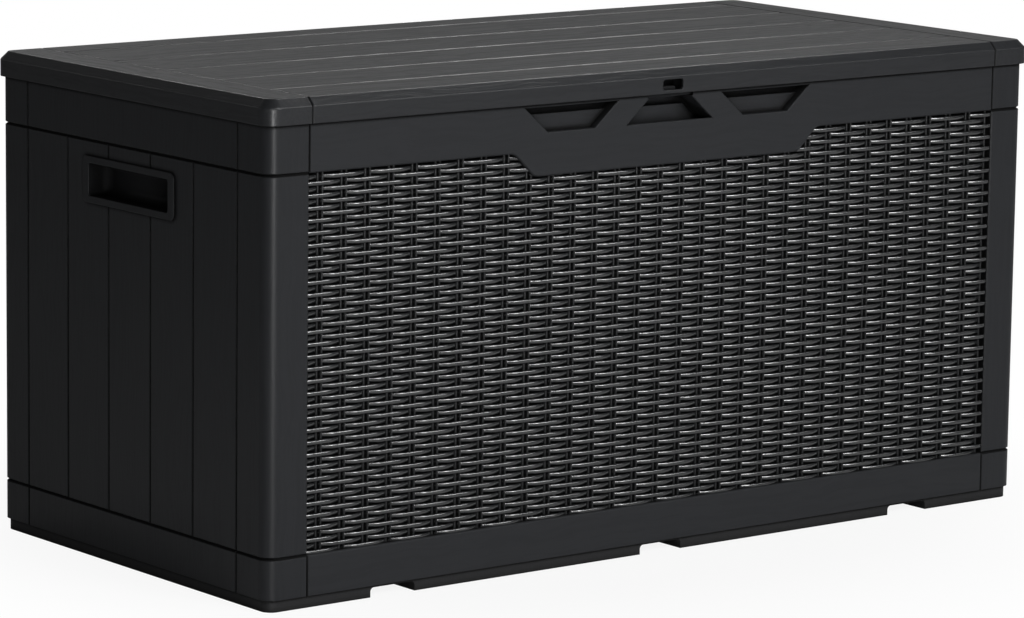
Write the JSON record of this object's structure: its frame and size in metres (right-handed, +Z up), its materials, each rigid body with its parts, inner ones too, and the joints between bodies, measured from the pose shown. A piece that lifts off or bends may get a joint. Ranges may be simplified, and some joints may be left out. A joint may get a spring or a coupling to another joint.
{
  "type": "dock box",
  "caption": "Rectangular resin dock box with a woven-look front, planked ends, hand holds, and a hinged planked lid with a padlock hole.",
  "frame": {"origin": "on the ground under the middle of the box", "axes": "+X along the box's length, -Y out of its wicker front, +Z up"},
  "size_m": [1.22, 0.6, 0.612],
  "materials": {
    "wall_resin": "satin, moulded",
    "lid_resin": "satin, moulded wood grain",
    "wicker_resin": "semi-gloss, moulded weave",
    "cup_resin": "satin, moulded",
    "fitting_resin": "satin, moulded",
    "base_resin": "matt, moulded",
    "tube_steel": "black powder coat",
    "pin_steel": "zinc plated",
    "screw_steel": "zinc plated"
  },
  "bodies": {
    "box": {"base_panel": "base_resin", "front_panel": "wall_resin", "back_panel": "wall_resin", "right_side_panel": "wall_resin", "left_side_panel": "wall_resin", "wicker_panel": "wicker_resin", "right_handle_cup": "cup_resin", "left_handle_cup": "cup_resin", "padlock_bridge": "fitting_resin", "padlock_bridge_screws": "screw_steel", "front_corner_screws": "screw_steel", "back_corner_screws": "screw_steel", "base_screws": "screw_steel", "wicker_panel_screws": "screw_steel", "hinge_bracket_screws": "screw_steel", "left_hinge_bracket": "fitting_resin", "left_hinge_pin": "pin_steel", "centre_hinge_bracket": "fitting_resin", "centre_hinge_pin": "pin_steel", "right_hinge_bracket": "fitting_resin", "right_hinge_pin": "pin_steel"},
    "lid": {"lid_panel": "lid_resin", "lid_right_end_cap": "lid_resin", "lid_left_end_cap": "lid_resin", "lid_right_cap_screws": "screw_steel", "lid_left_cap_screws": "screw_steel", "stiffener_strap_screws": "screw_steel", "hinge_leaf_screws": "screw_steel", "front_stiffener_tube": "tube_steel", "front_stiffener_straps": "tube_steel", "rear_stiffener_tube": "tube_steel", "rear_stiffener_straps": "tube_steel", "left_hinge_leaf": "fitting_resin", "centre_hinge_leaf": "fitting_resin", "right_hinge_leaf": "fitting_resin"}
  },
  "joints": [
    {"name": "lid_hinge", "type": "hinge", "parent": "box", "child": "lid", "pos_m": [0, 0.292, 0.572], "axis": [-1, 0, 0], "range_deg": [0, 100]}
  ]
}
